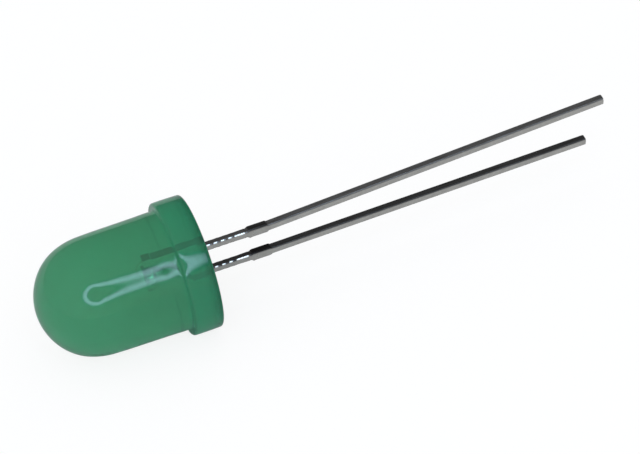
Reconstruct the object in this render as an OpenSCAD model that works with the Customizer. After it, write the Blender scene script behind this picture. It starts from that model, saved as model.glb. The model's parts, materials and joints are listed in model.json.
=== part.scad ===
// Round through hole LED, 10 mm: an epoxy lens cast round a stamped lead frame.
// The lens axis is the X axis: the dome points to -X and the legs to +X.
// +Z is the anode side, and the cathode flat faces -Z.
// The origin is the centre of the lens's rear face. Depths are counted from it, into the lens.

/* [Lens] */
// Diameter of the barrel and of the dome
lens_d = 10; // [8:0.1:13]
// Height of the lens, from its rear face to the tip of the dome
lens_h = 14.15; // [12:0.05:20]
// How far the flange stands out beyond the barrel
flange_out = 0.7; // [0.5:0.05:1.5]
// Thickness of the flange
flange_t = 2.5; // [1:0.1:4]
// Radius of the flange's rounded edges
flange_edge_r = 0.25; // [0.05:0.05:0.25]
// Fillet between the barrel and the flange
root_r = 0.15; // [0.05:0.05:0.2]
// How far the cathode flat stands out beyond the barrel
flat_proud = 0; // [0:0.05:0.4]
// Height of the epoxy collar that climbs each lead
collar_h = 0.2; // [0.1:0.05:0.4]

/* [Leads] */
// Distance between the centres of the two leads where they leave the lens
lead_pitch = 2.54; // [2.3:0.02:3.2]
// Width of a lead in the plane of the frame
lead_w = 0.54; // [0.4:0.02:0.64]
// Thickness of the sheet that the frame is stamped from
frame_t = 0.52; // [0.4:0.02:0.64]
// Radius of a leg's long edges
lead_edge_r = 0.06; // [0.02:0.01:0.1]
// Radius at a leg's cut tip
tip_r = 0.14; // [0.05:0.01:0.18]
// Length of the anode leg, from the rear face
anode_l = 36.2; // [10:0.1:45]
// Length of the cathode leg, from the rear face
cathode_l = 34.3; // [9:0.1:43]
// Angle by which the anode leg splays away from the other leg, past its stub
anode_splay = 2.9; // [-1:0.1:4]
// Angle by which the cathode leg splays away from the other leg, past its stub
cathode_splay = -0.8; // [-1:0.1:4]

/* [Tie bar stubs] */
// Distance from the rear face to the stubs
stub_x = 4.25; // [2:0.05:8]
// Length of a stub
stub_l = 1.83; // [1:0.01:3]
// How far a stub stands out from each side of its lead
stub_proud = 0.1; // [0.04:0.01:0.2]
// Length of the sheared slope at each end of a stub
stub_slope = 0.16; // [0.05:0.01:0.3]
// Height of the burr at the start of a stub
stub_burr = 0.05; // [0:0.01:0.08]

/* [Lead frame inside the lens] */
// Depth at which the leads widen into the anvil and the post
shoulder_depth = 1.2; // [0.8:0.1:1.6]
// Length over which the anvil slopes out to its full width
anvil_slope = 1.5; // [1:0.1:2]
// Depth of the anvil's top edge
anvil_depth = 4.2; // [3.6:0.1:5.2]
// How far the anvil reaches past the lens axis, towards the anode
anvil_reach = 0.42; // [0.3:0.02:0.5]
// Gap between the anode post and the cathode
frame_gap = 0.34; // [0.2:0.02:0.4]
// How far the anode's bond pad lies below the cup's rim
pad_drop = 0.2; // [0:0.05:0.4]
// How far the flag at the top of the anode post stands out beyond its lead
flag_out = 0.1; // [0.04:0.02:0.6]
// Height of the flag
flag_h = 0.7; // [0.4:0.1:1]
// Radius of the notches that lock the frame in the epoxy
notch_r = 0.16; // [0.08:0.02:0.2]

/* [Reflector cup] */
// Diameter of the round head that holds the cup
head_d = 1.44; // [1.2:0.02:1.8]
// How far the head stands up from the anvil's top edge
head_h = 0.9; // [0.7:0.05:1.2]
// How far the cone under the head reaches down into the anvil
head_root = 0.26; // [0.1:0.02:0.4]
// Width of the cup's rim
cup_rim = 0.14; // [0.08:0.01:0.2]
// Depth of the cup below its rim
cup_h = 0.36; // [0.3:0.02:0.5]
// Clearance between the adhesive and the edge of the cup's floor
cup_clear = 0.05; // [0.02:0.01:0.08]

/* [Die and wire] */
// Side of the square die
die_side = 0.32; // [0.2:0.02:0.4]
// Height of the die
die_h = 0.22; // [0.1:0.02:0.3]
// Thickness of the adhesive under the die
attach_t = 0.03; // [0.01:0.01:0.05]
// Height to which the adhesive climbs the die's sides
attach_climb = 0.09; // [0.05:0.01:0.1]
// How far the adhesive spreads beyond the die at the cup's floor
attach_spread = 0.1; // [0.06:0.01:0.12]
// Diameter of the bond wire
wire_d = 0.03; // [0.02:0.005:0.05]
// Height of the wire's loop above the straight line between its two ends
loop_rise = 0.6; // [0.4:0.05:0.9]
// Diameter of the ball that joins the wire to the die
ball_d = 0.1; // [0.08:0.01:0.14]
// Height of the ball and of the stitch at the wire's other end
bond_h = 0.04; // [0.03:0.01:0.06]
// Length of the stitch on the bond pad
stitch_l = 0.16; // [0.1:0.01:0.2]

/* [Hidden] */
$fn = 96;

// Overlap that makes two shapes of one piece fuse
fuse = 0.1;

// Lens
lens_r = lens_d / 2;
flange_r = lens_r + flange_out;
dome_centre = lens_h - lens_r;
flat_z = -(lens_r + flat_proud);

// Leads
lead_z = lead_pitch / 2;
lead_half_w = lead_w / 2;
corner_r = norm([lead_w, frame_t]) / 2;
stub_end = stub_x + stub_l;
bend_x = stub_end - stub_slope - fuse;

// Lead frame inside the lens
outer_edge = lead_z + lead_half_w;
inner_edge = lead_z - lead_half_w;
notch_depth = shoulder_depth + anvil_slope / 2;
head_r = head_d / 2;
head_depth = anvil_depth + head_h;
cone_depth = anvil_depth - head_root;
cone_l = head_r - frame_t / 2;
post_edge = anvil_reach + frame_gap;
post_top_edge = head_r + frame_gap;
flag_edge = outer_edge + flag_out;
pad_depth = head_depth - pad_drop;
pad_z = (post_top_edge + flag_edge) / 2;

// Die and wire
cup_floor = head_depth - cup_h;
attach_r = die_side / 2 + attach_spread;
die_top = cup_floor + attach_t + die_h;
wire_start = [-(die_top + bond_h / 2), 0];
wire_end = [-(pad_depth + bond_h / 2), pad_z];
wire_span = wire_end - wire_start;
loop_r = (pow(norm(wire_span) / 2, 2) + pow(loop_rise, 2)) / (2 * loop_rise);
loop_half_angle = acos(1 - loop_rise / loop_r);
span_angle = atan2(wire_span[1], wire_span[0]);

// Stands a shape that is drawn upwards on the lens axis, so that up becomes deeper into the lens
module into_lens() {
    rotate([0, -90, 0]) children();
}

// Turns a drawing in X and Y into one in X and Z
module in_frame_plane() {
    rotate([90, 0, 0]) children();
}

// A flat stamping of the frame's sheet, with its outline in X and Z
module stamping() {
    in_frame_plane() linear_extrude(frame_t, center = true) children();
}

// A rectangle with round corners, centred
module rounded_rectangle(width, height, radius) {
    square([width - 2 * radius, height], center = true);
    square([width, height - 2 * radius], center = true);
    for (x = [-1, 1], y = [-1, 1])
        translate([x * (width / 2 - radius), y * (height / 2 - radius)]) circle(radius);
}

// The section of a disc from its axis outwards, with both rims rounded
module disc_section(radius, height, edge_r) {
    square([radius - edge_r, height]);
    translate([0, edge_r]) square([radius, height - 2 * edge_r]);
    for (h = [edge_r, height - edge_r])
        translate([radius - edge_r, h]) circle(edge_r);
}

// A concave fillet in the corner between a vertical line at x = radius and a horizontal one at y = height
module fillet_section(radius, height, fillet_r) {
    difference() {
        translate([radius - fuse, height - fuse]) square(fillet_r + fuse);
        translate([radius + fillet_r, height + fillet_r]) circle(fillet_r);
    }
}

// The lens's section: half of it, from the rear face up to the tip of the dome
module lens_section() {
    disc_section(flange_r, flange_t, flange_edge_r);
    fillet_section(lens_r, flange_t, root_r);
    square([lens_r, dome_centre]);
    intersection() {
        translate([0, dome_centre]) circle(lens_r);
        translate([0, dome_centre - fuse]) square([lens_r, lens_r + fuse]);
    }
}

// What the cathode flat takes off the flange
module flat_cut() {
    past_rim = flange_r + fuse;
    translate([-(flange_t + root_r), -past_rim, -past_rim])
        cube([flange_t + root_r + fuse, 2 * past_rim, past_rim + flat_z]);
}

// The epoxy that climbs a lead where it leaves the rear face
module collar() {
    rotate([0, 90, 0]) rotate_extrude() {
        fillet_section(corner_r, 0, collar_h);
        translate([0, -fuse]) square([corner_r, collar_h + fuse]);
    }
}

// The epoxy as a solid form, before the lead frame is let into it
module lens_form() {
    difference() {
        into_lens() rotate_extrude() lens_section();
        flat_cut();
    }
    for (side = [-1, 1])
        translate([0, 0, side * lead_z]) collar();
}

// A square bar along X, with its long edges rounded
module bar(length) {
    rotate([0, 90, 0]) linear_extrude(length) rounded_rectangle(lead_w, frame_t, lead_edge_r);
}

// A bar whose far end has the rounded corners of a cut tip
module tipped_bar(length) {
    intersection() {
        bar(length);
        translate([-tip_r, 0, 0]) rotate([0, 90, 0])
            rotate_extrude() disc_section(corner_r, length + tip_r, tip_r);
    }
}

// What is left of the tie bar on a lead: sloped at its ends, with a burr on its lower side
module tie_bar_stub() {
    top = lead_half_w + stub_proud;
    stamping() polygon([
        [stub_x, lead_half_w],
        [stub_x + stub_slope, top],
        [stub_end - stub_slope, top],
        [stub_end, lead_half_w],
        [stub_end, -lead_half_w],
        [stub_end - stub_slope, -top],
        [stub_x + 2 * stub_slope, -top],
        [stub_x + stub_slope, -top - stub_burr],
        [stub_x, -lead_half_w]
    ]);
}

// One leg, straight as far as its stub and then splayed. side is 1 for the anode and -1 for the cathode
module leg(side, length, splay) {
    translate([0, 0, side * lead_z]) {
        translate([-shoulder_depth, 0, 0]) bar(shoulder_depth + bend_x + fuse);
        tie_bar_stub();
        translate([bend_x, 0, 0]) rotate([0, -side * splay, 0])
            translate([-fuse, 0, 0]) tipped_bar(length - bend_x + fuse);
    }
}

// A stamping inside the lens, with its outline in depth and Z
module inner_stamping() {
    stamping() mirror([1, 0]) children();
}

// The notch in the outer edge of the post or the anvil
module lock_notch() {
    translate([notch_depth, outer_edge]) circle(notch_r);
}

// The post inside the lens, with the flag that carries the bond pad
module anode_post() {
    inner_stamping() difference() {
        polygon([
            [shoulder_depth - fuse, inner_edge],
            [shoulder_depth, inner_edge],
            [shoulder_depth + anvil_slope, post_edge],
            [cone_depth - (post_top_edge - post_edge), post_edge],
            [cone_depth, post_top_edge],
            [pad_depth, post_top_edge],
            [pad_depth, flag_edge],
            [pad_depth - flag_h, flag_edge],
            [pad_depth - flag_h - flag_out, outer_edge],
            [shoulder_depth - fuse, outer_edge]
        ]);
        lock_notch();
    }
}

// The anvil inside the lens, up to the cup's head
module cathode_anvil() {
    inner_stamping() difference() {
        polygon([
            [shoulder_depth - fuse, -inner_edge],
            [shoulder_depth, -inner_edge],
            [shoulder_depth + anvil_slope, anvil_reach],
            [anvil_depth, anvil_reach],
            [anvil_depth, -head_r],
            [anvil_depth - (outer_edge - head_r), -outer_edge],
            [shoulder_depth - fuse, -outer_edge]
        ]);
        mirror([0, 1]) lock_notch();
    }
}

// The round head on the anvil, with the reflector cup let into its end
module cup_head() {
    into_lens() difference() {
        union() {
            translate([0, 0, cone_depth]) cylinder(r1 = frame_t / 2, r2 = head_r, h = cone_l);
            translate([0, 0, cone_depth + cone_l])
                cylinder(r = head_r, h = head_depth - cone_depth - cone_l);
        }
        translate([0, 0, cup_floor]) cylinder(r1 = attach_r + cup_clear, r2 = head_r - cup_rim, h = cup_h);
    }
}

module lens() {
    color("seagreen", 0.8) difference() {
        lens_form();
        anode_lead();
        cathode_lead();
        led_die();
        die_attach();
        bond_wire();
    }
}

module anode_lead() {
    color("silver") {
        leg(1, anode_l, anode_splay);
        anode_post();
    }
}

module cathode_lead() {
    color("silver") {
        leg(-1, cathode_l, cathode_splay);
        cathode_anvil();
        cup_head();
    }
}

module led_die() {
    color("khaki") into_lens()
        translate([-die_side / 2, -die_side / 2, cup_floor + attach_t]) cube([die_side, die_side, die_h]);
}

// The adhesive: a thin bed under the die, with a fillet up its sides
module die_attach() {
    color("gainsboro") difference() {
        into_lens() translate([0, 0, cup_floor])
            cylinder(r1 = attach_r, r2 = die_side / 2 + attach_t, h = attach_climb);
        led_die();
    }
}

// The gold wire: a ball on the die, one round loop, and a stitch on the anode's bond pad
module bond_wire() {
    color("gold") {
        into_lens() translate([0, 0, die_top]) cylinder(d = ball_d, h = bond_h);
        in_frame_plane() translate((wire_start + wire_end) / 2) rotate(span_angle)
            translate([0, loop_rise - loop_r]) rotate(90 - loop_half_angle)
                rotate_extrude(angle = 2 * loop_half_angle) translate([loop_r, 0]) circle(d = wire_d);
        translate([-pad_depth - bond_h, -ball_d / 2, pad_z - stitch_l / 2])
            cube([bond_h, ball_d, stitch_l]);
    }
}

lens();
anode_lead();
cathode_lead();
led_die();
die_attach();
bond_wire();
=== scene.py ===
"""The looks of a green 10 mm through hole LED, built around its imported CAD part.

The lens axis is X, with the dome at -X and the legs at +X. +Z is the anode side.
The LED lies on its cathode flat, so the floor is at the flat's height.
"""

import json
import math

import bmesh
import bpy
from mathutils import Matrix, Vector


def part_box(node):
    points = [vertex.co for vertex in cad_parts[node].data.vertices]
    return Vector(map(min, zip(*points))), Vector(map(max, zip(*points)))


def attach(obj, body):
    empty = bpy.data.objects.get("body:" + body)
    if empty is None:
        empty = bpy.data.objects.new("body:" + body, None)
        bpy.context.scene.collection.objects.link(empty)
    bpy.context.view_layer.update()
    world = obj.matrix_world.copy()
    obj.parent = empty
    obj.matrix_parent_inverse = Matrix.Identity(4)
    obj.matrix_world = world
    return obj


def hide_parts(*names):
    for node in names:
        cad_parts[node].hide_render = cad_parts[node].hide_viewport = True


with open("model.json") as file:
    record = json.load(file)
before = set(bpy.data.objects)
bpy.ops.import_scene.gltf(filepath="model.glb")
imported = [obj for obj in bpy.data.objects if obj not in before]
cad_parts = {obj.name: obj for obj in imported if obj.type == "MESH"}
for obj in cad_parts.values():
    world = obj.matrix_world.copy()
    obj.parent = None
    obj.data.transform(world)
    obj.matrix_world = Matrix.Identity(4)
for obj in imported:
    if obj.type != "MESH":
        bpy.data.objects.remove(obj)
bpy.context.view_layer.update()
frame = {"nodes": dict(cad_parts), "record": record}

MM = 0.001
WELD = 0.001 * MM
BODY = "root"
WHITE = (1.0, 1.0, 1.0, 1.0)
mounts = {mount["name"]: mount for mount in frame["record"]["mounts"]}

# Lens, from the CAD part
lens_low, lens_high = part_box("lens")
BARREL_R = mounts["barrel"]["dims"]["r_mm"] * MM
FLANGE_R = lens_high.z
FLANGE_FRONT_X = mounts["flange_step"]["pos_m"][0]
TIP_X = lens_low.x
COLLAR_H = lens_high.x
FLAT_Z = mounts["cathode_flat"]["pos_m"][2]

# Leads, as in the CAD part: how far they are from the axis, half the wire's width and the stub's, and
# where along X the stub starts and where the leg bends
LEAD_Z = 1.27 * MM
LEAD_HALF = 0.27 * MM
STUB_HALF = 1.3 * LEAD_HALF
STUB_X = 4.25 * MM
BEND_X = 5.9 * MM

# Lens, its casting: a little draft, a barrel that swells by the flange to make up for it, a waist where
# the dome starts, a wider foot by the flange, a rim that is crowned, and collars that climb the leads
DRAFT = math.radians(0.47)
SWELL = 0.077 * MM
WAIST = 0.053 * MM
WAIST_AHEAD = 1.07 * MM
WAIST_SPREAD = 1.43 * MM
FOOT = 0.0225 * MM
FOOT_L = 1.27 * MM
FOOT_SPREAD = 0.5 * MM
CROWN_BACK = 0.65 * MM
CROWN_FRONT_DROP = 0.03 * MM
CROWN_REAR_DROP = 0.025 * MM
FLANGE_EDGE_R = 0.18 * MM
ROOT_R = 0.15 * MM
COLLAR_R = 1.3 * LEAD_HALF
COLLAR_SPREAD = 0.12 * MM
# Lens, the block that cuts its flat: longer and wider than the lens
FLAT_BLOCK = Vector((40, 14, 4)) * MM
# Lens, its mesh
LENS_STEP = 0.12 * MM
LENS_SEGMENTS = 144
DOME_STEPS = 96
ROOT_STEPS = 8
EDGE_STEPS = 10
SHARP_FOLD = math.radians(35)

# Lens, its colour: the skin's lighter and deeper tints, painted shade that darkens the flange and,
# still darker, the rear rim, its gloss and its faint swells
EPOXY_IOR = 1.53
SKIN_TINT = (0.28, 0.84, 0.53, 1.0)
SKIN_TINT_DEEP = (0.24, 0.76, 0.48, 1.0)
FLANGE_PAINTED_SHADE = (0.17, 0.79, 0.5, 1.0)
FLANGE_BLEND_L = 0.4 * MM
RIM_PAINTED_SHADE = (0.01, 0.3, 0.18, 1.0)
RIM_SHADE_L = 1.0 * MM
SKIN_FLOW = 220.0
SKIN_MATT = (0.02, 0.04)
SKIN_SWELL = 900.0
SKIN_SWELL_H = 0.0015 * MM
# Lens, its inside: what a millimetre of it lets through, and how much it clouds light
INSIDE_TINT = (0.872, 0.957, 0.924, 1.0)
INSIDE_STAIN = 1.0 / MM
INSIDE_CLOUD = 205.0

# Leads, their coat of tin: its thickness and its rounded edges
COAT = 0.05 * MM
COAT_START = -0.3 * MM
COAT_EDGE_R = 0.16 * MM
COAT_FOLD_R = 0.09 * MM
COAT_BEVEL = 1.33
# Leads, the coat's ripples between the lens and the stubs, the share of each ripple that is rubbed
# flat and has a painted highlight, the climb to a stub, and the notch before it
RIPPLE = 0.005 * MM
RIPPLE_L = 0.635 * MM
ANODE_RIPPLE_X = 0.65 * MM
CATHODE_RIPPLE_X = 1.04 * MM
RUBBED_HIGHLIGHT_SHARE = 0.52
CLIMB = 0.025 * MM
CLIMB_L = 1.15 * MM
NOTCH_L = 0.15 * MM
# Leads, the coat's mesh: it starts as a tube this wide, which is drawn in onto the steel
COAT_REACH = 0.6 * MM
COAT_STEP = 0.07 * MM
COAT_SIDES = 48
FOLD = math.radians(25)
# Leads, where painted shade goes: how squarely a face looks up or down where an edge has a painted
# highlight, how much less that is elsewhere, and how high on the leg the painted shade starts and is full
SHEARED_SHADE_TILT = (0.75, 0.9)
UNHIGHLIT_SHADE_TILT = 0.5
SHADED_FROM = 0.45
SHADED_FULL = 0.8

# Leads, their colours and gloss. Sheared faces carry painted shade, darker on the cathode than on the
# anode; they vary between two shares of their tone, and lose much of it where they are torn, and inside
# the lens, where the loss is painted shade
TIN_TONES = ((0.53, 0.51, 0.47, 1.0), (0.76, 0.73, 0.67, 1.0))
ANODE_SHEARED_SHADE_TONE = 0.2
CATHODE_SHEARED_SHADE_TONE = 0.09
SHEARED_SHADE_SHARES = (0.7, 1.3)
TORN_LOSS = 0.7
INSIDE_SHADE_LOSS = 0.9
SILVER_TONE = (0.96, 0.95, 0.92, 1.0)
TIN_MATT = (0.13, 0.4)
TIN_CLOUD = 900.0
# Leads, the fine lines along them from drawing and rolling
DRAWN_LINES = (500.0, 7000.0, 7000.0)
DRAWN_BAND = (0.3, 0.7)
DRAWN_MATT = 0.1
DRAWN_DEPTH = 0.001 * MM
DRAWN_STRENGTH = 0.6

# Die, its glue and its wire. The gold pad's radius is a share of the die's side
CRYSTAL_TONE = (0.10, 0.12, 0.14, 1.0)
CRYSTAL_IOR = 2.6
PAD_TONE = (0.85, 0.6, 0.25, 1.0)
PAD_SHARE = 0.22
CRYSTAL_MATT = (0.15, 0.35)
SAW_MARKS = 40000.0
PASTE_TONE = (0.62, 0.62, 0.6, 1.0)
PASTE_METAL = 0.8
PASTE_MATT = (0.35, 0.65)
PASTE_FLAKES = 60000.0
PASTE_RELIEF = 0.002 * MM
GOLD_TONE = (0.9, 0.62, 0.26, 1.0)
GOLD_MATT = (0.12, 0.27)
GOLD_CLOUD = 9000.0

# Where the camera stands: its direction from the LED, its roll, its focal length, and its place across,
# up and back from the centre of the lens's rear face
CAMERA_ELEVATION = math.radians(41.49)
CAMERA_AZIMUTH = math.radians(-14.67)
CAMERA_ROLL = math.radians(-8.75)
CAMERA_LENS = 196.9
CAMERA_OFFSET = Vector((9.815, 2.727, 286.62)) * MM
CAMERA_NEAR = 0.01
CAMERA_FAR = 10.0

# Studio, its floor: the paper's tone in the light and as the camera sees it, and the glow seen through epoxy
FLOOR_HALF = 1.5
PAPER_TONE = 0.46
PAPER_TONE_SEEN = 0.15
FLOOR_THROUGH = 0.2
# Studio, its soft light and its tent: a level, and a slope towards a bright side
WORLD_LEVEL = 0.8
WORLD_SLOPE = 0.3
WORLD_BRIGHT_SIDE = Vector((-0.6, -0.5, 0.62))
TENT_LEVEL = 0.34
TENT_SLOPE = 0.24
TENT_BRIGHT_SIDE = Vector((-0.5, -0.8, 0.3))
TENT_R = 0.9
TENT_SEGMENTS = 48
TENT_RINGS = 24
# Studio, its ring lamp: four circles from the inner to the outer, and its shift and lift off the camera's
# axis, all as shares of how far it is. Its glow is full on the middle two circles
LAMP_FAR = 0.28
LAMP_RADII = (0.21, 0.29, 0.30, 0.432)
LAMP_FULL = (1, 2)
LAMP_STEPS = 96
LAMP_SHIFT = 0.048
LAMP_LIFT = 0.029
LAMP_COLOR = (0.56, 0.75, 1.0, 1.0)
LAMP_STRENGTH = 5.6
VOLUME_BOUNCES = 16


def add(tree, kind, inputs=None, **settings):
    """Adds a node to a tree. In inputs, a node or socket is linked and any other value is set."""
    new = tree.nodes.new(kind)
    for name, value in settings.items():
        setattr(new, name, value)
    for key, value in (inputs or {}).items():
        connect(tree, value, new.inputs[key])
    return new


def connect(tree, value, socket):
    """Links a node or a socket to a socket, or sets any other value on it."""
    if isinstance(value, bpy.types.Node):
        value = value.outputs[0]
    if isinstance(value, bpy.types.NodeSocket):
        tree.links.new(value, socket)
    else:
        socket.default_value = value


def maths(tree, operation, *values):
    """A Math node, as its output socket."""
    return add(tree, "ShaderNodeMath", dict(enumerate(values)), operation=operation).outputs[0]


def vectors(tree, operation, *values):
    """A Vector Math node, as its output socket."""
    number = operation in ("DISTANCE", "DOT_PRODUCT")
    new = add(tree, "ShaderNodeVectorMath", dict(enumerate(values)), operation=operation)
    return new.outputs["Value" if number else "Vector"]


def scaled(tree, vector, scale):
    """A vector times a number."""
    new = add(tree, "ShaderNodeVectorMath", {0: vector, "Scale": scale}, operation="SCALE")
    return new.outputs["Vector"]


def point(tree, x=0.0, y=0.0, z=0.0):
    """A vector socket from its three parts."""
    return add(tree, "ShaderNodeCombineXYZ", {0: x, 1: y, 2: z}).outputs[0]


def parts(tree, vector):
    """The three parts of a vector."""
    return add(tree, "ShaderNodeSeparateXYZ", {0: vector}).outputs


def ramp(tree, value, low, high, start=0.0, end=1.0, bend="LINEAR"):
    """A value that goes from start to end as another goes from low to high."""
    return add(tree, "ShaderNodeMapRange", {
        "Value": value, "From Min": low, "From Max": high, "To Min": start, "To Max": end},
        interpolation_type=bend).outputs[0]


def unless(tree, share, loss=1.0):
    """One less a share of the loss."""
    return maths(tree, "SUBTRACT", 1.0, maths(tree, "MULTIPLY", share, loss))


def new_rule(name, sizes):
    """A Geometry Nodes tree with a named input for each size. Returns it with its inputs."""
    kinds = {float: "NodeSocketFloat", int: "NodeSocketInt", Vector: "NodeSocketVector",
             bpy.types.Material: "NodeSocketMaterial"}
    tree = bpy.data.node_groups.new(name, "GeometryNodeTree")
    tree.interface.new_socket("Geometry", in_out="INPUT", socket_type="NodeSocketGeometry")
    for size, value in sizes.items():
        tree.interface.new_socket(size, in_out="INPUT", socket_type=kinds[type(value)])
    tree.interface.new_socket("Geometry", in_out="OUTPUT", socket_type="NodeSocketGeometry")
    return tree, tree.nodes.new("NodeGroupInput").outputs


def run_rule(name, tree, sizes, base=None):
    """Runs a Geometry Nodes tree on a mesh with these sizes, and returns the result as a plain piece."""
    holder = bpy.data.objects.new(name + "_rule", base or bpy.data.meshes.new(name + "_base"))
    bpy.context.scene.collection.objects.link(holder)
    modifier = holder.modifiers.new("rule", "NODES")
    modifier.node_group = tree
    for item in tree.interface.items_tree:
        if item.item_type == "SOCKET" and item.in_out == "INPUT" and item.name in sizes:
            modifier[item.identifier] = sizes[item.name]
    graph = bpy.context.evaluated_depsgraph_get()
    mesh = bpy.data.meshes.new_from_object(holder.evaluated_get(graph), depsgraph=graph)
    bpy.data.objects.remove(holder)
    mesh.materials.clear()
    mesh.materials.append(sizes["Material"])
    piece = bpy.data.objects.new(name, mesh)
    bpy.context.scene.collection.objects.link(piece)
    return piece


def finish_rule(tree, shape, material, sharp_fold):
    """Smooths the shape's faces between its sharp folds, and ends the rule."""
    fold = tree.nodes.new("GeometryNodeInputMeshEdgeAngle").outputs["Unsigned Angle"]
    sharp = maths(tree, "GREATER_THAN", fold, sharp_fold)
    shape = add(tree, "GeometryNodeSetShadeSmooth", {0: shape, "Shade Smooth": True}, domain="FACE")
    shape = add(tree, "GeometryNodeSetShadeSmooth", {0: shape, "Selection": sharp, "Shade Smooth": False},
                domain="EDGE")
    shape = add(tree, "GeometryNodeRealizeInstances", {0: shape})
    shape = add(tree, "GeometryNodeSetMaterial", {0: shape, "Material": material})
    add(tree, "NodeGroupOutput", {0: shape})


def where(tree):
    """The position field, as a socket."""
    return tree.nodes.new("GeometryNodeInputPosition").outputs[0]


def index(tree):
    """The index field, as a socket."""
    return tree.nodes.new("GeometryNodeInputIndex").outputs[0]


def by_index(tree, kind, values):
    """A field that gives each point its own value, by its index."""
    switch = add(tree, "GeometryNodeIndexSwitch", data_type=kind)
    while len(switch.index_switch_items) < len(values):
        switch.index_switch_items.new()
    connect(tree, index(tree), switch.inputs["Index"])
    for number, value in enumerate(values):
        connect(tree, value, switch.inputs[number + 1])
    return switch.outputs[0]


def bent_line(tree, corners):
    """A line through these corners."""
    line = add(tree, "GeometryNodeCurvePrimitiveLine")
    line = add(tree, "GeometryNodeResampleCurve", {"Curve": line, "Count": len(corners)})
    return add(tree, "GeometryNodeSetPosition", {0: line, "Position": by_index(tree, "VECTOR", corners)})


def store(tree, shape, name, value, kind="FLOAT", domain="POINT"):
    """The shape, with a value stored on it by name."""
    return add(tree, "GeometryNodeStoreNamedAttribute", {0: shape, "Name": name, "Value": value},
               data_type=kind, domain=domain)


def recall(tree, name):
    """A vector that is stored by name."""
    return add(tree, "GeometryNodeInputNamedAttribute", {"Name": name}, data_type="FLOAT_VECTOR").outputs[0]


def ease(tree, x, far, near, height):
    """A rise that starts level at far and reaches height at near, as a parabola."""
    return maths(tree, "MULTIPLY", maths(tree, "POWER", ramp(tree, x, far, near), 2.0), height)


def lens_outline(tree, size):
    """Half the lens's plain section, from the dome's tip to the centre of the rear face."""
    slope = maths(tree, "TANGENT", size["Draft"])
    barrel_l = maths(tree, "SUBTRACT", size["Step"], size["Tip"])
    dome_side = maths(tree, "SUBTRACT", size["Barrel radius"], maths(tree, "MULTIPLY", barrel_l, slope))
    half_turn = maths(tree, "DIVIDE", maths(tree, "SUBTRACT", math.pi / 2, size["Draft"]), 2.0)
    dome_r = maths(tree, "DIVIDE", dome_side, maths(tree, "TANGENT", half_turn))
    # each corner's place, its radius, and the steps in its arc
    corners, radii, steps = zip(
        (point(tree, size["Tip"]), 0.0, 1),
        (point(tree, size["Tip"], dome_side), dome_r, DOME_STEPS),
        (point(tree, size["Step"], size["Barrel radius"]), size["Root radius"], ROOT_STEPS),
        (point(tree, size["Step"], size["Flange radius"]), size["Edge radius"], EDGE_STEPS),
        (point(tree, 0.0, size["Flange radius"]), size["Edge radius"], EDGE_STEPS),
        (point(tree), 0.0, 1))
    return add(tree, "GeometryNodeFilletCurve", {
        "Curve": bent_line(tree, corners), "Count": by_index(tree, "INT", steps),
        "Radius": by_index(tree, "FLOAT", radii), "Limit Radius": True}, mode="POLY")


def split_line(tree, line, step):
    """The line with more points, about a step apart on its straight stretches."""
    here = where(tree)
    next_one = maths(tree, "ADD", index(tree), 1)
    after = add(tree, "GeometryNodeFieldAtIndex", {"Index": next_one, "Value": here},
                data_type="FLOAT_VECTOR", domain="POINT")
    cuts = maths(tree, "FLOOR", maths(tree, "DIVIDE", vectors(tree, "DISTANCE", here, after), step))
    return add(tree, "GeometryNodeSubdivideCurve", {"Curve": line, "Cuts": cuts})


def barrel_form(tree, x, size):
    """How far the cast barrel stands off its outline: out at its foot, and in at its waist."""
    off_waist = maths(tree, "DIVIDE", maths(tree, "SUBTRACT", x, size["Waist centre"]), size["Waist spread"])
    bell = maths(tree, "EXPONENT", maths(tree, "MULTIPLY", maths(tree, "POWER", off_waist, 2.0), -1.0))
    off_foot = maths(tree, "ADD", maths(tree, "SUBTRACT", x, size["Step"]), size["Foot length"])
    rise = maths(tree, "TANH", maths(tree, "DIVIDE", off_foot, size["Foot spread"]))
    foot = maths(tree, "MULTIPLY", maths(tree, "ADD", rise, 1.0), maths(tree, "MULTIPLY", size["Foot"], 0.5))
    return maths(tree, "SUBTRACT", foot, maths(tree, "MULTIPLY", bell, size["Waist"]))


def rim_form(tree, x, size):
    """How far the crowned rim of the flange falls away to its front and to its rear."""
    crown_x = maths(tree, "ADD", size["Step"], size["Crown"])
    front = ease(tree, x, crown_x, size["Step"], size["Front drop"])
    rear = ease(tree, x, crown_x, 0.0, size["Rear drop"])
    return maths(tree, "MULTIPLY", maths(tree, "ADD", front, rear), -1.0)


def lens_section(tree, size):
    """Half the lens's section as it is cast."""
    line = split_line(tree, lens_outline(tree, size), size["Mesh step"])
    x, y, _ = parts(tree, where(tree))
    on_rim = maths(tree, "GREATER_THAN", y, maths(tree, "ADD", size["Barrel radius"], size["Root radius"]))
    form = add(tree, "GeometryNodeSwitch", {
        "Switch": on_rim, "False": barrel_form(tree, x, size), "True": rim_form(tree, x, size)},
        input_type="FLOAT")
    off_axis = maths(tree, "GREATER_THAN", y, maths(tree, "MULTIPLY", size["Root radius"], 2.0))
    return add(tree, "GeometryNodeSetPosition", {
        0: line, "Selection": off_axis, "Offset": point(tree, 0.0, form)})


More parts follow.
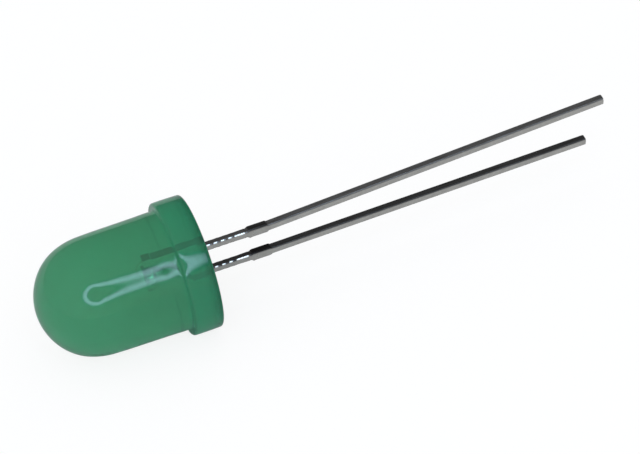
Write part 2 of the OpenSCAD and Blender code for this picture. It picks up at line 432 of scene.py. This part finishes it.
def spin(tree, line, segments):
    """A closed shape of revolution: the line, which starts and ends on X, spun round it."""
    count = add(tree, "GeometryNodeAttributeDomainSize", {0: line}, component="CURVE").outputs["Point Count"]
    rows = maths(tree, "ADD", segments, 1)
    grid = add(tree, "GeometryNodeMeshGrid", {"Vertices X": count, "Vertices Y": rows})
    number = index(tree)
    along = maths(tree, "FLOOR", maths(tree, "DIVIDE", maths(tree, "ADD", number, 0.5), rows))
    turns = maths(tree, "DIVIDE", maths(tree, "MODULO", number, rows), segments)
    angle = maths(tree, "MULTIPLY", turns, math.tau)
    section = add(tree, "GeometryNodeSampleIndex", {0: line, "Value": where(tree), "Index": along},
                  data_type="FLOAT_VECTOR", domain="POINT")
    x, radius, _ = parts(tree, section)
    place = point(tree, x, maths(tree, "MULTIPLY", radius, maths(tree, "COSINE", angle)),
                  maths(tree, "MULTIPLY", radius, maths(tree, "SINE", angle)))
    spun = add(tree, "GeometryNodeSetPosition", {0: grid, "Position": place})
    return add(tree, "GeometryNodeMergeByDistance", {0: spun, "Distance": WELD})


def climb_leads(tree, shape, size):
    """The collars: the rear face climbs each lead."""
    here = where(tree)
    climbs = []
    for side in (-1, 1):
        centre = point(tree, 0.0, 0.0, maths(tree, "MULTIPLY", size["Lead offset"], side))
        far = vectors(tree, "DISTANCE", here, centre)
        out = maths(tree, "MAXIMUM", maths(tree, "SUBTRACT", far, size["Collar radius"]), 0.0)
        spread = maths(tree, "MULTIPLY", size["Collar spread"], -1.0)
        fall = maths(tree, "EXPONENT", maths(tree, "DIVIDE", out, spread))
        climbs.append(maths(tree, "MULTIPLY", size["Collar height"], fall))
    rear = maths(tree, "GREATER_THAN", parts(tree, here)[0], -WELD)
    lift = point(tree, maths(tree, "MAXIMUM", *climbs))
    return add(tree, "GeometryNodeSetPosition", {0: shape, "Selection": rear, "Offset": lift})


def cut_flat(tree, shape, size):
    """The cathode flat, which takes a slice off the flange."""
    block = add(tree, "GeometryNodeMeshCube", {"Size": FLAT_BLOCK})
    drop = point(tree, 0.0, 0.0, maths(tree, "SUBTRACT", size["Flat"], FLAT_BLOCK.z / 2))
    block = add(tree, "GeometryNodeTransform", {0: block, "Translation": drop})
    return add(tree, "GeometryNodeMeshBoolean", {"Mesh 1": shape, "Mesh 2": block}, operation="DIFFERENCE",
               solver="EXACT")


def cast_lens(material):
    """The epoxy lens, which the leads run through."""
    sizes = {
        "Tip": TIP_X, "Barrel radius": BARREL_R + SWELL, "Draft": DRAFT, "Step": FLANGE_FRONT_X,
        "Flange radius": FLANGE_R, "Edge radius": FLANGE_EDGE_R, "Root radius": ROOT_R, "Flat": FLAT_Z,
        "Waist centre": TIP_X + BARREL_R - WAIST_AHEAD, "Waist": WAIST, "Waist spread": WAIST_SPREAD,
        "Foot": FOOT, "Foot length": FOOT_L, "Foot spread": FOOT_SPREAD,
        "Crown": CROWN_BACK, "Front drop": CROWN_FRONT_DROP, "Rear drop": CROWN_REAR_DROP,
        "Lead offset": LEAD_Z, "Collar radius": COLLAR_R, "Collar height": COLLAR_H,
        "Collar spread": COLLAR_SPREAD, "Mesh step": LENS_STEP, "Segments": LENS_SEGMENTS,
        "Material": material}
    tree, size = new_rule("cast_lens", sizes)
    shape = spin(tree, lens_section(tree, size), size["Segments"])
    shape = climb_leads(tree, shape, size)
    shape = cut_flat(tree, shape, size)
    finish_rule(tree, shape, size["Material"], SHARP_FOLD)
    lens = run_rule("epoxy_lens", tree, sizes)
    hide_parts("lens")
    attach(lens, BODY)


def leg_path(node, side):
    """Three points down the middle of a leg: inside the lens, at its bend, and at its tip."""
    lead = frame["nodes"][node]
    far = 20 * MM

    def middle(x):
        """The leg's height at x, halfway between its top and its underside."""
        return sum(lead.ray_cast(Vector((x, 0, d * far)), Vector((0, 0, -d)))[1].z for d in (-1, 1)) / 2

    bend = Vector((BEND_X, 0, side * LEAD_Z))
    along = Vector((far, 0, middle(BEND_X + far) - bend.z)).normalized()
    tip = lead.ray_cast(bend + along * 3 * far, -along)[1]
    return Vector((COAT_START, 0, side * LEAD_Z)), bend, tip


def walk_leg(tree, size):
    """A line of points down the leg's middle, which store their place and their heading."""
    path = bent_line(tree, (size["Start"], size["Bend"], size["Tip"]))
    path = add(tree, "GeometryNodeResampleCurve", {"Curve": path, "Length": size["Mesh step"]}, mode="LENGTH")
    path = store(tree, path, "middle", where(tree), kind="FLOAT_VECTOR")
    heading = tree.nodes.new("GeometryNodeInputTangent").outputs[0]
    return store(tree, path, "heading", heading, kind="FLOAT_VECTOR")


def rubbed_highlight(tree, x, size):
    """Where a leg's edges are rubbed flat and get a painted highlight: on each ripple's rise, and on the
    climb to the stub.
    """
    climb_x = maths(tree, "SUBTRACT", size["Stub"], size["Climb length"])
    notch_x = maths(tree, "SUBTRACT", size["Stub"], size["Notch length"])
    turns = maths(tree, "DIVIDE", maths(tree, "SUBTRACT", x, size["Ripple start"]), size["Ripple length"])
    rise = maths(tree, "LESS_THAN", maths(tree, "FRACT", turns), size["Rubbed share"])
    climbing = maths(tree, "GREATER_THAN", x, climb_x)
    before_notch = maths(tree, "LESS_THAN", x, notch_x)
    return maths(tree, "MULTIPLY", maths(tree, "MAXIMUM", rise, climbing), before_notch)


def rippled(tree, x, size):
    """How far the tin stands off along a leg: ripples from the lens on, then a climb to the stub."""
    climb_x = maths(tree, "SUBTRACT", size["Stub"], size["Climb length"])
    notch_x = maths(tree, "SUBTRACT", size["Stub"], size["Notch length"])
    half = maths(tree, "DIVIDE", size["Ripple length"], 2.0)
    wave = maths(tree, "PINGPONG", maths(tree, "SUBTRACT", x, size["Ripple start"]), half)
    wave = maths(tree, "SUBTRACT", maths(tree, "DIVIDE", maths(tree, "MULTIPLY", wave, 2.0), half), 1.0)
    calm = maths(tree, "LESS_THAN", x, climb_x)
    wave = maths(tree, "MULTIPLY", maths(tree, "MULTIPLY", wave, calm), size["Ripple"])
    share = maths(tree, "MULTIPLY", ramp(tree, x, climb_x, notch_x), maths(tree, "LESS_THAN", x, notch_x))
    return maths(tree, "ADD", wave, maths(tree, "MULTIPLY", share, size["Climb"]))


def edge_radius(tree, x, size):
    """The radius of the coat's edges: round as far as the stub, and tighter after it."""
    before_stub = maths(tree, "LESS_THAN", x, size["Stub"])
    wider = maths(tree, "SUBTRACT", size["Edge radius"], size["Fold radius"])
    return maths(tree, "ADD", size["Fold radius"], maths(tree, "MULTIPLY", before_stub, wider))


def steel_half(tree, steel, side, size):
    """How far the steel reaches from the leg's middle towards this side."""
    start = vectors(tree, "MULTIPLY_ADD", side, size["Reach vector"], recall(tree, "middle"))
    hit = add(tree, "GeometryNodeRaycast", {
        "Target Geometry": steel, "Source Position": start, "Ray Direction": scaled(tree, side, -1.0)})
    return maths(tree, "SUBTRACT", size["Reach"], hit.outputs["Hit Distance"])


def held(tree, value, limit):
    """A value that is held between a limit and its opposite."""
    value = maths(tree, "MINIMUM", value, limit)
    return maths(tree, "MAXIMUM", value, maths(tree, "MULTIPLY", limit, -1.0))


def round_edge(tree, across, up, x, size):
    """The way that a point of the coat goes out from its core, and shorter where the edge is rubbed flat."""
    away = vectors(tree, "NORMALIZE", point(tree, across, up))
    corner = vectors(tree, "DOT_PRODUCT", vectors(tree, "ABSOLUTE", away), (1.0, 1.0, 0.0))
    length = maths(tree, "MINIMUM", maths(tree, "DIVIDE", size["Bevel"], corner), 1.0)
    length = maths(tree, "MAXIMUM", length, unless(tree, rubbed_highlight(tree, x, size)))
    return parts(tree, scaled(tree, away, length))


def leg_tube(tree, size):
    """A plain round tube down the leg, wide enough to hold all of it."""
    ring = add(tree, "GeometryNodeCurvePrimitiveCircle", {
        "Resolution": size["Sides"], "Radius": size["Reach"]})
    return add(tree, "GeometryNodeCurveToMesh", {
        "Curve": walk_leg(tree, size), "Profile Curve": ring, "Fill Caps": True})


def leg_ways(tree):
    """The two ways out from the leg's middle: level, and up."""
    ahead, _, rise = parts(tree, recall(tree, "heading"))
    return point(tree, 0.0, 1.0), point(tree, maths(tree, "MULTIPLY", rise, -1.0), 0.0, ahead)


def mark_coat(tree, tube, height, steel_height, x, size):
    """Stores where the coat gets painted shade, high up on its edges without a painted highlight, and where
    it is torn, at the stub.
    """
    # painted shade: darker towards the upper edge of the leg
    shaded = ramp(tree, height, SHADED_FROM, SHADED_FULL)
    # edges with a painted highlight get none of this painted shade
    shaded = maths(tree, "MULTIPLY", shaded, unless(tree, rubbed_highlight(tree, x, size)))
    tube = store(tree, tube, "shaded", shaded)
    return store(tree, tube, "torn", ramp(tree, steel_height, size["Half width"], size["Stub half"]))


def coat_leg(tree, steel, size):
    """A tube of tin that is drawn in onto the leg's steel, with rounded edges."""
    middle = recall(tree, "middle")
    x = parts(tree, middle)[0]
    out = vectors(tree, "SUBTRACT", where(tree), middle)
    edge_r = edge_radius(tree, x, size)
    ways = leg_ways(tree)
    cores = []
    beyond = []
    for way in ways:
        share = vectors(tree, "DOT_PRODUCT", out, way)
        half = steel_half(tree, steel, scaled(tree, way, maths(tree, "SIGN", share)), size)
        flat = maths(tree, "SUBTRACT", maths(tree, "ADD", half, size["Coat"]), edge_r)
        flat = maths(tree, "MAXIMUM", flat, 0.0)
        cores.append(held(tree, share, flat))
        beyond.append(maths(tree, "SUBTRACT", share, cores[-1]))
    thick = maths(tree, "ADD", edge_r, rippled(tree, x, size))
    place = middle
    for way, core, away in zip(ways, cores, round_edge(tree, *beyond, x, size)):
        reach = maths(tree, "ADD", core, maths(tree, "MULTIPLY", away, thick))
        place = vectors(tree, "ADD", place, scaled(tree, way, reach))
    # reach, flat and half are now those of the way up
    height = maths(tree, "DIVIDE", reach, maths(tree, "ADD", flat, edge_r))
    tube = mark_coat(tree, leg_tube(tree, size), height, half, x, size)
    return add(tree, "GeometryNodeSetPosition", {0: tube, "Position": place})


def sheared_shade_faces(tree, size):
    """Which faces get painted shade: those that look up or down, and the edges without a painted highlight.
    """
    x = parts(tree, where(tree))[0]
    tilt = parts(tree, tree.nodes.new("GeometryNodeInputNormal").outputs[0])[2]
    less = maths(tree, "MULTIPLY", unless(tree, rubbed_highlight(tree, x, size)), UNHIGHLIT_SHADE_TILT)
    # edges with a painted highlight stay bright, the others get painted shade
    low, high = (maths(tree, "SUBTRACT", limit, less) for limit in SHEARED_SHADE_TILT)
    return ramp(tree, maths(tree, "ABSOLUTE", tilt), low, high)


def tin_lead(name, node, side, ripple_x, material):
    """A lead: the stamped steel from the CAD part, and the tin round its leg."""
    start, bend, tip = leg_path(node, side)
    sizes = {
        "Start": start, "Bend": bend, "Tip": tip, "Stub": STUB_X, "Half width": LEAD_HALF,
        "Stub half": STUB_HALF, "Coat": COAT, "Edge radius": COAT_EDGE_R, "Fold radius": COAT_FOLD_R,
        "Bevel": COAT_BEVEL, "Rubbed share": RUBBED_HIGHLIGHT_SHARE, "Ripple": RIPPLE, "Ripple length": RIPPLE_L,
        "Ripple start": ripple_x, "Climb": CLIMB, "Climb length": CLIMB_L, "Notch length": NOTCH_L,
        "Reach": COAT_REACH, "Reach vector": Vector((COAT_REACH, COAT_REACH, COAT_REACH)),
        "Mesh step": COAT_STEP, "Sides": COAT_SIDES, "Material": material}
    tree, size = new_rule("tin_lead", sizes)
    steel = add(tree, "GeometryNodeRemoveAttribute", {0: size["Geometry"], "Name": "custom_normal"})
    steel = add(tree, "GeometryNodeMergeByDistance", {0: steel, "Distance": WELD})
    coat = coat_leg(tree, steel, size)
    shape = tree.nodes.new("GeometryNodeJoinGeometry")
    for part in (steel, coat):
        tree.links.new(part.outputs[0], shape.inputs[0])
    # painted shade: stores which faces are painted dark
    shape = store(tree, shape, "sheared", sheared_shade_faces(tree, size), domain="FACE")
    finish_rule(tree, shape, size["Material"], FOLD)
    lead = run_rule(name, tree, sizes, frame["nodes"][node].data)
    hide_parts(node)
    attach(lead, BODY)


def blend(tree, share, first, second):
    """A colour between two others, as its output socket."""
    mix = add(tree, "ShaderNodeMix", data_type="RGBA")
    for socket, value in zip((mix.inputs[0], mix.inputs[6], mix.inputs[7]), (share, first, second)):
        connect(tree, value, socket)
    return mix.outputs[2]


def on_piece(tree):
    """The place on the piece, as a socket."""
    return tree.nodes.new("ShaderNodeTexCoord").outputs["Object"]


def marked(tree, name):
    """A value that the piece's mesh carries by name."""
    return add(tree, "ShaderNodeAttribute", attribute_name=name).outputs["Fac"]


def clouds(tree, place, scale, detail=2.0):
    """An uneven, cloudy pattern from 0 to 1."""
    return add(tree, "ShaderNodeTexNoise", {"Vector": place, "Scale": scale, "Detail": detail}).outputs["Fac"]


def new_material(name):
    """An empty node material, with its tree and its output node."""
    material = bpy.data.materials.new(name)
    material.use_nodes = True
    material.node_tree.nodes.clear()
    return material, material.node_tree, material.node_tree.nodes.new("ShaderNodeOutputMaterial")


def surface(tree, out, kind, inputs):
    """Gives a material or the world its shader."""
    shader = add(tree, kind, inputs)
    tree.links.new(shader.outputs[0], out.inputs["Surface"])


def green_epoxy():
    """Tinted, lightly diffused epoxy: a glossy green skin, with painted shade on its flange and rear rim,
    round a cloudy inside.
    """
    material, tree, out = new_material("green_epoxy")
    place = on_piece(tree)
    x = parts(tree, place)[0]
    flow = clouds(tree, place, SKIN_FLOW)
    flange = ramp(tree, x, FLANGE_FRONT_X - FLANGE_BLEND_L, FLANGE_FRONT_X + FLANGE_BLEND_L)
    rim = ramp(tree, x, -RIM_SHADE_L, 0.0, bend="SMOOTHSTEP")
    tint_and_shade = blend(tree, flow, SKIN_TINT_DEEP, SKIN_TINT)
    # painted shade: the flange is painted darker than the barrel
    tint_and_shade = blend(tree, flange, tint_and_shade, FLANGE_PAINTED_SHADE)
    # painted shade: the rear rim is painted darker still
    tint_and_shade = blend(tree, rim, tint_and_shade, RIM_PAINTED_SHADE)
    swell = clouds(tree, place, SKIN_SWELL, detail=1.0)
    relief = add(tree, "ShaderNodeBump", {"Height": swell, "Distance": SKIN_SWELL_H})
    surface(tree, out, "ShaderNodeBsdfPrincipled", {
        "Base Color": tint_and_shade, "Roughness": ramp(tree, flow, 0.0, 1.0, *SKIN_MATT), "IOR": EPOXY_IOR,
        "Transmission Weight": 1.0, "Normal": relief})
    cloud = add(tree, "ShaderNodeVolumeScatter", {"Color": WHITE, "Density": INSIDE_CLOUD})
    stain = add(tree, "ShaderNodeVolumeAbsorption", {"Color": INSIDE_TINT, "Density": INSIDE_STAIN})
    inside = add(tree, "ShaderNodeAddShader", {0: cloud, 1: stain})
    tree.links.new(inside.outputs[0], out.inputs["Volume"])
    return material


def tinned_steel(name, sheared_shade_tone):
    """Tin on steel: bright on the rolled faces and with painted highlights on rubbed edges, painted shade on
    the sheared faces and upper edges, darker where torn, duller past the stub.

    Inside the lens the frame is plated with silver instead, and its sheared faces get far deeper painted
    shade.
    """
    material, tree, out = new_material(name)
    place = on_piece(tree)
    x = parts(tree, place)[0]
    inside = maths(tree, "LESS_THAN", x, 0.0)
    # painted shade: the sheared faces, and the upper edges without a painted highlight
    sheared = maths(tree, "MAXIMUM", marked(tree, "sheared"), marked(tree, "shaded"))
    drawn = add(tree, "ShaderNodeMapping", {"Vector": place, "Scale": DRAWN_LINES})
    lines = clouds(tree, drawn, 1.0, detail=4.0)
    rolled = blend(tree, clouds(tree, place, TIN_CLOUD), *TIN_TONES)
    rolled = blend(tree, inside, rolled, SILVER_TONE)
    # painted shade: the dark tone of the faces that look up or down
    dark = ramp(tree, lines, *DRAWN_BAND, *(sheared_shade_tone * share for share in SHEARED_SHADE_SHARES))
    dark = maths(tree, "MULTIPLY", dark, unless(tree, marked(tree, "torn"), TORN_LOSS))
    # painted shade: inside the lens the sheared faces are painted far darker
    dark = maths(tree, "MULTIPLY", dark, unless(tree, inside, INSIDE_SHADE_LOSS))
    dull = ramp(tree, x, STUB_X, BEND_X, *TIN_MATT)
    matt = maths(tree, "ADD", dull, maths(tree, "MULTIPLY", lines, DRAWN_MATT))
    relief = add(tree, "ShaderNodeBump", {
        "Height": lines, "Distance": DRAWN_DEPTH, "Strength": DRAWN_STRENGTH})
    surface(tree, out, "ShaderNodeBsdfPrincipled", {
        "Base Color": blend(tree, sheared, rolled, dark), "Metallic": 1.0, "Roughness": matt,
        "Normal": relief})
    return material


def die_crystal():
    """The LED's crystal: dark and glossy, with sawn sides and a round gold pad on top."""
    material, tree, out = new_material("die_crystal")
    place = on_piece(tree)
    low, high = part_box("led_die")
    middle = (low + high) / 2
    top = Vector((low.x, middle.y, middle.z))
    pad = maths(tree, "LESS_THAN", vectors(tree, "DISTANCE", place, top), (high.y - low.y) * PAD_SHARE)
    saw = clouds(tree, place, SAW_MARKS, detail=3.0)
    surface(tree, out, "ShaderNodeBsdfPrincipled", {
        "Base Color": blend(tree, pad, CRYSTAL_TONE, PAD_TONE), "Metallic": pad,
        "Roughness": ramp(tree, saw, 0.0, 1.0, *CRYSTAL_MATT), "IOR": CRYSTAL_IOR})
    return material


def silver_paste():
    """The glue under the crystal: a dull paste full of silver flakes."""
    material, tree, out = new_material("silver_paste")
    flakes = add(tree, "ShaderNodeTexVoronoi", {"Vector": on_piece(tree), "Scale": PASTE_FLAKES})
    edge = flakes.outputs["Distance"]
    relief = add(tree, "ShaderNodeBump", {"Height": edge, "Distance": PASTE_RELIEF})
    surface(tree, out, "ShaderNodeBsdfPrincipled", {
        "Base Color": PASTE_TONE, "Metallic": PASTE_METAL,
        "Roughness": ramp(tree, edge, 0.0, 1.0, *PASTE_MATT), "Normal": relief})
    return material


def gold_wire():
    """Soft drawn gold, a little duller in places."""
    material, tree, out = new_material("gold_wire")
    matt = ramp(tree, clouds(tree, on_piece(tree), GOLD_CLOUD), 0.0, 1.0, *GOLD_MATT)
    surface(tree, out, "ShaderNodeBsdfPrincipled", {
        "Base Color": GOLD_TONE, "Metallic": 1.0, "Roughness": matt})
    return material


def dress(node, material):
    """Gives a part that stays as the CAD made it its own material."""
    materials = frame["nodes"][node].data.materials
    for slot in range(len(materials)):
        materials[slot] = material


def camera():
    """The camera. Returns its direction from the LED and the level line across it."""
    data = bpy.data.cameras.new("camera")
    data.lens = CAMERA_LENS
    data.clip_start = CAMERA_NEAR
    data.clip_end = CAMERA_FAR
    el = CAMERA_ELEVATION
    az = CAMERA_AZIMUTH
    back = Vector((math.sin(az) * math.cos(el), -math.cos(az) * math.cos(el), math.sin(el)))
    level = Vector((math.cos(az), math.sin(az), 0))
    right = Matrix.Rotation(CAMERA_ROLL, 3, back) @ level
    rotation = Matrix((right, back.cross(right), back)).transposed()
    shooter = bpy.data.objects.new("camera", data)
    shooter.matrix_world = Matrix.Translation(rotation @ CAMERA_OFFSET) @ rotation.to_4x4()
    bpy.context.scene.collection.objects.link(shooter)
    bpy.context.scene.camera = shooter
    return back, level


def stage_piece(name, mesh, material):
    """Puts a mesh in the studio, apart from the LED."""
    mesh.materials.append(material)
    piece = bpy.data.objects.new(name, mesh)
    bpy.context.scene.collection.objects.link(piece)
    return piece


def white_floor():
    """A pale sheet under the LED, which the camera sees as white with a faint shadow."""
    material, tree, out = new_material("white_floor")
    path = tree.nodes.new("ShaderNodeLightPath").outputs
    darker = maths(tree, "MULTIPLY", path["Is Camera Ray"], PAPER_TONE - PAPER_TONE_SEEN)
    tone = maths(tree, "SUBTRACT", PAPER_TONE, darker)
    paper = add(tree, "ShaderNodeBsdfDiffuse", {"Color": point(tree, tone, tone, tone)})
    seen = maths(tree, "MULTIPLY", path["Is Camera Ray"], 1.0 - PAPER_TONE_SEEN)
    through = maths(tree, "MULTIPLY", path["Is Transmission Ray"], FLOOR_THROUGH)
    white = add(tree, "ShaderNodeEmission", {"Color": WHITE, "Strength": maths(tree, "ADD", seen, through)})
    surface(tree, out, "ShaderNodeAddShader", {0: paper, 1: white})
    mesh = bpy.data.meshes.new("floor")
    corners = [(x * FLOOR_HALF, y * FLOOR_HALF, FLAT_Z) for x, y in ((-1, -1), (1, -1), (1, 1), (-1, 1))]
    mesh.from_pydata(corners, [], [(0, 1, 2, 3)])
    stage_piece("floor", mesh, material)


def slanted(tree, way, bright_side, level, slope):
    """A level of light that rises towards its bright side."""
    facing = vectors(tree, "DOT_PRODUCT", way, bright_side)
    return maths(tree, "ADD", level, maths(tree, "MULTIPLY", facing, slope))


def soft_world():
    """Soft light from all sides, a little stronger from the dome's front and above. The camera sees white."""
    world = bpy.data.worlds.new("studio")
    bpy.context.scene.world = world
    world.use_nodes = True
    tree = world.node_tree
    tree.nodes.clear()
    out = tree.nodes.new("ShaderNodeOutputWorld")
    way = tree.nodes.new("ShaderNodeTexCoord").outputs["Generated"]
    level = slanted(tree, way, WORLD_BRIGHT_SIDE.normalized(), WORLD_LEVEL, WORLD_SLOPE)
    seen = tree.nodes.new("ShaderNodeLightPath").outputs["Is Camera Ray"]
    level = maths(tree, "ADD", level, maths(tree, "MULTIPLY", seen, maths(tree, "SUBTRACT", 1.0, level)))
    surface(tree, out, "ShaderNodeBackground", {"Color": WHITE, "Strength": level})


def grey_tent():
    """A dim tent round the studio, darker at the back, which only reflections see."""
    material, tree, out = new_material("grey_tent")
    bright_side = TENT_BRIGHT_SIDE.normalized() / TENT_R
    level = slanted(tree, on_piece(tree), bright_side, TENT_LEVEL, TENT_SLOPE)
    surface(tree, out, "ShaderNodeEmission", {"Color": WHITE, "Strength": level})
    material.cycles.emission_sampling = "NONE"
    shape = bmesh.new()
    bmesh.ops.create_uvsphere(shape, u_segments=TENT_SEGMENTS, v_segments=TENT_RINGS, radius=TENT_R)
    mesh = bpy.data.meshes.new("grey_tent")
    shape.to_mesh(mesh)
    shape.free()
    tent = stage_piece("grey_tent", mesh, material)
    tent.visible_camera = False
    tent.visible_diffuse = False
    tent.visible_transmission = False
    tent.visible_volume_scatter = False
    tent.visible_shadow = False


def ring_light():
    """Cool light that fades towards the lamp's inner and outer edge."""
    material, tree, out = new_material("ring_light")
    share = ramp(tree, marked(tree, "glow"), 0.0, 1.0, bend="SMOOTHSTEP")
    surface(tree, out, "ShaderNodeEmission", {
        "Color": LAMP_COLOR, "Strength": maths(tree, "MULTIPLY", share, LAMP_STRENGTH)})
    return material


def ring_lamp(back, level):
    """A soft-edged ring of light round the camera's lens."""
    up = back.cross(level)
    centre = (back + level * LAMP_SHIFT + up * LAMP_LIFT) * LAMP_FAR
    turns = [math.tau * k / LAMP_STEPS for k in range(LAMP_STEPS)]
    spokes = [(level * math.cos(turn) + up * math.sin(turn)) * LAMP_FAR for turn in turns]
    shape = bmesh.new()
    rows = [[shape.verts.new(centre + spoke * radius) for spoke in spokes] for radius in LAMP_RADII]
    for inner, outer in zip(rows, rows[1:]):
        for k in range(LAMP_STEPS):
            n = (k + 1) % LAMP_STEPS
            shape.faces.new((inner[k], outer[k], outer[n], inner[n]))
    mesh = bpy.data.meshes.new("ring_lamp")
    shape.to_mesh(mesh)
    shape.free()
    glow = mesh.attributes.new("glow", "FLOAT", "POINT")
    glow.data.foreach_set("value", [float(row in LAMP_FULL) for row in range(len(LAMP_RADII)) for _ in turns])
    stage_piece("ring_lamp", mesh, ring_light()).visible_camera = False


scene = bpy.context.scene
scene.view_settings.view_transform = "Standard"
scene.cycles.volume_bounces = VOLUME_BOUNCES
scene.cycles.max_bounces = 2 * VOLUME_BOUNCES
scene.cycles.transmission_bounces = 2 * VOLUME_BOUNCES

cast_lens(green_epoxy())
# painted shade: the cathode's sheared faces are painted darker than the anode's
tin_lead("anode_tinned", "anode_lead", 1, ANODE_RIPPLE_X, tinned_steel("anode_tin", ANODE_SHEARED_SHADE_TONE))
tin_lead("cathode_tinned", "cathode_lead", -1, CATHODE_RIPPLE_X,
         tinned_steel("cathode_tin", CATHODE_SHEARED_SHADE_TONE))
dress("led_die", die_crystal())
dress("die_attach", silver_paste())
dress("bond_wire", gold_wire())

white_floor()
soft_world()
grey_tent()
ring_lamp(*camera())
